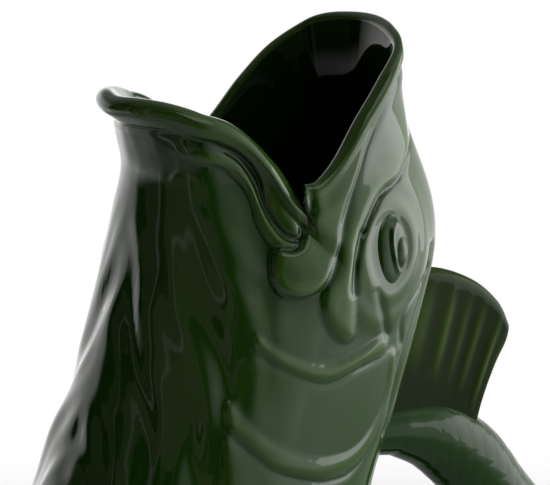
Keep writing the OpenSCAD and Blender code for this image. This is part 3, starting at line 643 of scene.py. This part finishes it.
# EYEBALLS. A moulded almond with a domed pupil on each side, pressed into its ring and glazed over.
# The rim of the almond is sunk into the socket, so no seam shows round it.
eye_middle, eye_lean, eye_sunk = (39.2, 196.0), math.radians(5), 0.9
eye_long, eye_short, eye_dome = 10.4, 5.4, 2.3
iris_middle, iris_long, iris_short, iris_step = (1.7, 0.2), 7.4, 3.5, 0.55
pupil_middle, pupil_long, pupil_short, pupil_dome = (2.3, -1.0), 3.9, 2.4, 0.9


def flank_at(x, z):
    """Angle and level of the left flank's skin at places of the side view."""
    x, z = np.asarray(x, float), np.asarray(z, float)
    r = through(trunk_rows, np.minimum(z, neck))
    c = np.clip((x - r[..., 1]) / r[..., 2], -1, 1)
    a = -np.degrees(np.arccos(rounded(c, 1 / fullness)))
    u = np.where(z <= neck, z / neck, 1.05)
    above = z > neck
    a_step, u_step = 0.05, 0.001
    for _ in range(14):
        p = skin_at(a, u)
        by_a, by_u = (skin_at(a + a_step, u) - p) / a_step, (skin_at(a, u + u_step) - p) / u_step
        off_x, off_z = x - p[..., 0], z - p[..., 2]
        det = by_a[..., 0] * by_u[..., 2] - by_u[..., 0] * by_a[..., 2]
        det = np.where(np.abs(det) < 1e-6, 1e-6, det)
        more_a = np.clip((off_x * by_u[..., 2] - off_z * by_u[..., 0]) / det, -8, 8)
        more_u = np.clip((off_z * by_a[..., 0] - off_x * by_a[..., 2]) / det, -0.2, 0.2)
        a = np.where(above, np.clip(a + more_a, -160, -20), a)
        u = np.where(above, np.clip(u + more_u, 1.0, 1.99), u)
    return a, u


def seated(x, z, out):
    """Points on the left flank, a given height straight out of the skin."""
    a, u = flank_at(x, z)
    run_round = skin_at(a + 0.2, u) - skin_at(a - 0.2, u)
    run_up = skin_at(a, u + 0.002) - skin_at(a, u - 0.002)
    return skin_at(a, u) + unit(np.cross(run_round, run_up)) * np.asarray(out)[..., None]


def other_side(made, name):
    """The same piece on the right flank."""
    twin = made.copy()
    twin.data = made.data.copy()
    twin.name = twin.data.name = name
    bpy.context.scene.collection.objects.link(twin)
    for point in twin.data.vertices:
        point.co.y = -point.co.y
    twin.data.flip_normals()
    return twin


def oval(across, along, half_across, half_along):
    """Share of the way out to an oval."""
    return np.sqrt((across / half_across) ** 2 + (along / half_along) ** 2)


turn, out_share = np.meshgrid(np.radians(np.arange(0, 360, 3.75)), np.linspace(1, 0.02, 40))
across = eye_short * out_share * np.cos(turn) * (1 - 0.16 * out_share * np.sin(turn) ** 2)
along = eye_long * out_share * np.sin(turn)
eye_x = eye_middle[0] + across * math.cos(eye_lean) + along * math.sin(eye_lean)
eye_z = eye_middle[1] - across * math.sin(eye_lean) + along * math.cos(eye_lean)
iris = oval(across - iris_middle[0] + 0.05 * along, along - iris_middle[1], iris_short, iris_long)
pupil = oval(across - pupil_middle[0], along - pupil_middle[1], pupil_short, pupil_long)
rise = eye_dome * np.sqrt(np.clip(1 - out_share ** 2.4, 0, 1)) - eye_sunk
rise += iris_step * (1 - smooth((iris - 0.8) / 0.3))
rise += 0.25 * hump(iris - 0.86, wide=0.14) * smooth((2.4 - across) / 3)
rise += pupil_dome * np.clip(1 - pupil ** 2, 0, 1)
rise -= 0.4 * hump(pupil - 1.15, wide=0.18) * smooth((-along - 1.5) / 2.5) * smooth((across + 1) / 2)
left_eyeball = closed_mesh("eye_left", seated(eye_x, eye_z, rise))
left_eyeball.data.materials.append(green_glaze)
right_eyeball = other_side(left_eyeball, "eye_right")
for made, node in ((left_eyeball, "left_eyeball"), (right_eyeball, "right_eyeball")):
    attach(made, "root")
    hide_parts(node)

# SIDE FINS. Press-moulded fans of rays, luted to the flanks with slip: a pair of pectorals behind
# the gill covers and a smaller pair of pelvics low on the belly. Narrow root up, free edge down.
fin_rays, fin_rise, ray_deep, edge_droop, root_swell = 6, 2.25, 0.6, 0.35, 0.25
fin_sunk, edge_sunk, root_soft, end_soft, side_soft = 0.6, 0.05, 3.0, 2.2, 3.2


def side_fin(name, at, lean, long, wide):
    """Fan on the left flank, from the place of its root, its lean, its length and its width."""
    s, v = np.meshgrid(np.linspace(0, 1, 72), np.linspace(-1, 1, 92), indexing="ij")
    lean = math.radians(lean)
    length = long * s * (1 - 0.22 * v ** 2)
    spread = wide / 2 * (0.3 + 0.7 * np.sin(np.pi / 2 * s)) * v
    x = at[0] + math.sin(lean) * length + math.cos(lean) * spread
    z = at[1] - math.cos(lean) * length + math.sin(lean) * spread
    border = np.minimum.reduce([
        s * long / root_soft, (1 - s) * long / end_soft, (1 - np.abs(v)) * wide / side_soft])
    crown = np.sqrt(np.clip(1 - (1 - np.clip(border, 0, 1)) ** 2, 0, 1))
    valley = 1 - np.abs(np.sin(np.pi * fin_rays * (v + 1) / 2)) ** 0.7
    high = fin_rise - ray_deep * valley * smooth(s * 3) - edge_droop * smooth(s * 1.4)
    high = crown * (high + root_swell * smooth(1.2 - 4 * s)) - edge_sunk
    front, back = seated(x, z, high), seated(x, z, np.full(x.shape, -fin_sunk))
    made = closed_mesh(name, np.concatenate([front, back[:, ::-1]], axis=1))
    made.data.materials.append(green_glaze)
    return made


left_pectoral = side_fin("pectoral_fin_left", (7.5, 129.5), lean=17, long=56, wide=34)
left_pelvic = side_fin("pelvic_fin_left", (-31.8, 66.6), lean=14, long=40, wide=25)
right_pectoral = other_side(left_pectoral, "pectoral_fin_right")
right_pelvic = other_side(left_pelvic, "pelvic_fin_right")
for made, node in ((left_pectoral, "left_pectoral_fin"), (right_pectoral, "right_pectoral_fin"),
                   (left_pelvic, "left_pelvic_fin"), (right_pelvic, "right_pelvic_fin")):
    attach(made, "root")
    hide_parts(node)

# TAIL. A hollow cast tube that leaves the back low down, bows out as the handle and comes back
# to the trunk under the fin. Both ends are luted to the body, and fine scales show in the glaze.
# Rows: place along the tail, then reach, height, half depth, half width in mm
tail_rows = np.array([
    [0, 62.1, 37.1, 17.9, 14.6], [1, 78.2, 38.1, 15.6, 12.5], [2, 94.3, 44.6, 14.3, 11.3],
    [3, 108.1, 56.7, 13.5, 10.5], [4, 114.9, 73.4, 12.8, 10], [5, 112.5, 89.8, 12, 9.8],
    [6, 102.8, 104.1, 11.2, 9.6], [7, 91.7, 116.8, 12.1, 9.3], [8, 79.4, 126, 10.7, 9],
    [9, 65.6, 130.6, 7.9, 8.5]])
tail_end, tail_columns, tail_rings, flare_rings, joint_rings = 9, 190, 400, 9, 12
scale_long, scale_high, joint_deep = 3.1, 0.09, 3.0


def tail_run(place):
    """Direction of the tail in the side view, from its root to its tip."""
    step = through(tail_rows, place + 0.05) - through(tail_rows, place - 0.05)
    return unit(step[..., 1:3])


def back_ring(turn, middle, deep, wide):
    """Ring on the trunk's back that an end of the tail is luted to. Deep below 0 turns it over."""
    z = middle + deep * np.sin(turn)
    y = wide * np.cos(turn)
    half = through(trunk_rows, z)[..., 3]
    a = np.degrees(np.arcsin((np.abs(y) / half) ** (1 / fullness))) * np.sign(y)
    return skin_at(a, z / neck)


turn = np.radians((np.arange(tail_columns) + 0.5) * 360 / tail_columns)
places = np.linspace(0, tail_end, tail_rings)
place, around = np.meshgrid(places, turn, indexing="ij")
row, run = through(tail_rows, place), tail_run(place)
steps = np.diff(through(tail_rows, places)[:, 1:3], axis=0)
length = np.concatenate([[0], np.cumsum(np.hypot(*steps.T))])[:, None]
girth = row[..., 4] * around * 1.15
one_way, other_way = (np.pi / 2 * (length + sign * girth) / scale_long for sign in (1, -1))
lattice = (np.abs(np.sin(one_way)) * np.abs(np.sin(other_way))) ** 0.5
scales = scale_high * (lattice - 0.6) * smooth(place / 0.6) * smooth((tail_end - place) / 1.6)
deep, wide = row[..., 3] + scales, row[..., 4] + scales
tube = np.stack([row[..., 1] - run[..., 1] * np.sin(around) * deep, wide * np.cos(around),
                 row[..., 2] + run[..., 0] * np.sin(around) * deep], -1)
low_ring = back_ring(turn, middle=39, deep=19.9, wide=17)
high_ring = back_ring(turn, middle=132, deep=-6.6, wide=8)
into_body = np.array([joint_deep, 0, 0])
flare = [low_ring + (tube[0] - low_ring) * t ** 0.8 for t in np.linspace(0, 1, flare_rings)[1:-1]]
joint = [tube[-1] + (high_ring - tube[-1]) * t for t in np.linspace(0, 1, joint_rings)[1:-1]]
tail = closed_mesh("tail_handle_tube", np.array(
    [low_ring - into_body, low_ring] + flare + list(tube) + joint + [high_ring, high_ring - into_body]))
tail_glaze = glaze("tail_glaze", (0.005, 0.036, 0.003), (0.032, 0.074, 0.012), ripple=0.04, shine=0.24)
tail.data.materials.append(tail_glaze)
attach(tail, "root")
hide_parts("tail_handle")

# TAIL FIN. The fan of the tail: a thick press-moulded plate with modelled rays, luted on top of
# the tail and to the fish's back, its free edge rounded over under the glaze.
# Rows: reach and height of the fan's free edge in mm, from the back outwards
fan_edge = np.array([
    [0, 69, 179.5], [1, 80.5, 177], [2, 89, 173.8], [3, 96.5, 169.4], [4, 102.4, 163.6], [5, 105.4, 157]])
fan_thick, edge_thick, ray_high, ray_wide, joint_high = 9.6, 4.8, 0.45, 0.034, 138.6
fan_tall, fan_broad, edge_soft = 42.0, 40.0, 3.2
# Rays: place from the back outwards and strength
fan_rays = ((0.16, 0.7), (0.33, 1.0), (0.48, 0.6), (0.62, 0.8), (0.8, 1.2))


def tail_inside(place):
    """The tail's inner curve, over the fingers, from which the fan's lines rise through the tail."""
    r, t = through(tail_rows, place), tail_run(place)
    return np.stack([r[..., 1] - t[..., 1] * r[..., 3], r[..., 2] + t[..., 0] * r[..., 3]], -1)


def back_of(z):
    """How far back the trunk reaches at a height."""
    r = through(trunk_rows, z)
    return r[..., 1] + r[..., 2]


# s runs up from the foot to the free edge, v from the back outwards. The foot ends inside the tail
s, v = np.meshgrid(np.linspace(0, 1, 90), np.linspace(0, 1, 150), indexing="ij")
s_from = 0.2 * smooth((v - 0.12) / 0.12)
s = s_from + (1 - s_from) * s
joint_share = 0.2
at_back = np.array([back_of(joint_high), joint_high])
near = at_back + (tail_inside(tail_end) - at_back) * np.clip(v / joint_share, 0, 1)[..., None]
past_joint = np.clip((v - joint_share) / (1 - joint_share), 0, 1)
foot_line = np.where((v < joint_share)[..., None], near, tail_inside(tail_end * (1 - 0.29 * past_joint)))
sheet = foot_line + (through(fan_edge, v * fan_edge[-1, 0])[..., 1:3] - foot_line) * s[..., None]
bow = (4.0 * np.sin(np.pi * s) ** 2 - 1.2 * hump(s - 0.9, wide=0.08)) * v ** 4
to_back = back_of(sheet[..., 1]) - sheet[..., 0]
fan_x = np.maximum(sheet[..., 0] - bow, back_of(sheet[..., 1])) + to_back * np.clip(1 - 5 * v, 0, 1) ** 2
fan_z = sheet[..., 1]
to_edge = np.minimum((1 - s) * fan_tall, (1 - v) * fan_broad)
round_over = np.sqrt(np.clip(1 - (1 - np.clip(to_edge / edge_soft, 0, 1)) ** 2, 0, 1))
rays = sum(strong * hump(v - at, wide=ray_wide) for at, strong in fan_rays)
rays = rays * smooth((s - 0.38) / 0.25) * smooth((1 - s) / 0.26)
half = (fan_thick + (edge_thick - fan_thick) * s) / 2 * round_over + ray_high * rays
half += 0.9 * (1 - smooth(s * 8)) + 2.4 * (1 - smooth(v * 8)) + 1.1 * smooth((v - 0.45) / 0.5) * round_over
left, right = np.stack([fan_x, -half, fan_z], -1), np.stack([fan_x, half, fan_z], -1)
fan = closed_mesh("tail_fan", np.concatenate([left, right[::-1]], axis=0).transpose(1, 0, 2))
# Paler glaze on the rays and the rounded edges, where it runs thin; the paler band along the outer part of
# the fan is a painted highlight
pale = np.clip(0.9 * rays + 0.9 * (1 - round_over) - 0.25 + 0.5 * smooth((v - 0.85) / 0.12), -0.3, 0.8)
mark_thin_and_painted_light(fan, np.concatenate([np.concatenate([pale, pale[::-1]], axis=0).T.ravel(), [0.0, 0.0]]))
fin_glaze = glaze("fin_glaze", (0.008, 0.020, 0.002), (0.046, 0.090, 0.014), ripple=0.05, shine=0.09)
fan.data.materials.append(fin_glaze)
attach(fan, "root")
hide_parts("tail_fin")

# FOOT RING. Turned on the foot of the body before firing and wiped clean of glaze, so that it
# doesn't stick to the kiln shelf: bare buff clay, slightly sandy, with its edges softened.
foot_wide, foot_round = 8.0, 1.1


def quarter_round(across, up, start):
    """Softened lower edge of the ring: a quarter of a circle about a place."""
    bends = [math.radians(start + 15 * k) for k in range(7)]
    return [(across + foot_round * math.cos(t), up + foot_round * math.sin(t)) for t in bends]


profile = [*quarter_round(foot_wide - foot_round, foot_round, 270), (foot_wide, foot_top),
           (0.0, foot_top), *quarter_round(foot_round, foot_round, 180)]
loops = []
for t in np.arange(0, 360, 2.5):
    base = trunk_at(np.array(t), np.array(0.0))
    ahead = trunk_at(np.array(t + 0.5), np.array(0.0)) - trunk_at(np.array(t - 0.5), np.array(0.0))
    inward = -unit(np.array([ahead[1], -ahead[0], 0]))
    loops.append([base + inward * (foot_wide - across) + np.array([0, 0, up])
                  + (trunk_at(np.array(t), np.array(up)) - base) * np.array([1, 1, 0]) * across / foot_wide
                  for across, up in profile])
loops = np.array(loops)
n, m = loops.shape[:2]
quads = [(i * m + j, ((i + 1) % n) * m + j, ((i + 1) % n) * m + (j + 1) % m, i * m + (j + 1) % m)
         for i in range(n) for j in range(m)]
foot = modelled("foot", loops.reshape(-1, 3), quads)
bpy.ops.object.shade_smooth_by_angle(angle=math.radians(40))
clay_grain, given, put = node_group("clay_grain", (
    ("Buff", "Color"), ("Toasted", "Color"), ("Grain Size", "Float")), surface)
place = add_node(clay_grain, "TexCoord").outputs["Object"]
blush = add_node(clay_grain, "TexNoise", {"Vector": place, "Scale": 45.0})
mixes = {"Factor": blush.outputs["Fac"], "A": given["Buff"], "B": given["Toasted"]}
tint = add_node(clay_grain, "Mix", mixes, data_type="RGBA")
clay_grain.links.new(tint.outputs["Result"], put["Color"])
grain = add_node(clay_grain, "TexNoise", {"Vector": place, "Scale": given["Grain Size"], "Detail": 3.0})
clay_grain.links.new(grain.outputs["Fac"], put["Height"])
dry = mapped(clay_grain, grain.outputs["Fac"], (0.0, 1.0), (0.78, 0.95), kind="LINEAR")
clay_grain.links.new(dry, put["Roughness"])
clay_values = {"Buff": (0.66, 0.56, 0.42, 1.0), "Toasted": (0.50, 0.38, 0.25, 1.0), "Grain Size": 900.0}
clay = film_material("bare_clay", clay_grain, clay_values, bump_deep=0.0003, bump_strength=0.5)[0]
foot.data.materials.append(clay)
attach(foot, "root")
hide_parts("foot_ring")
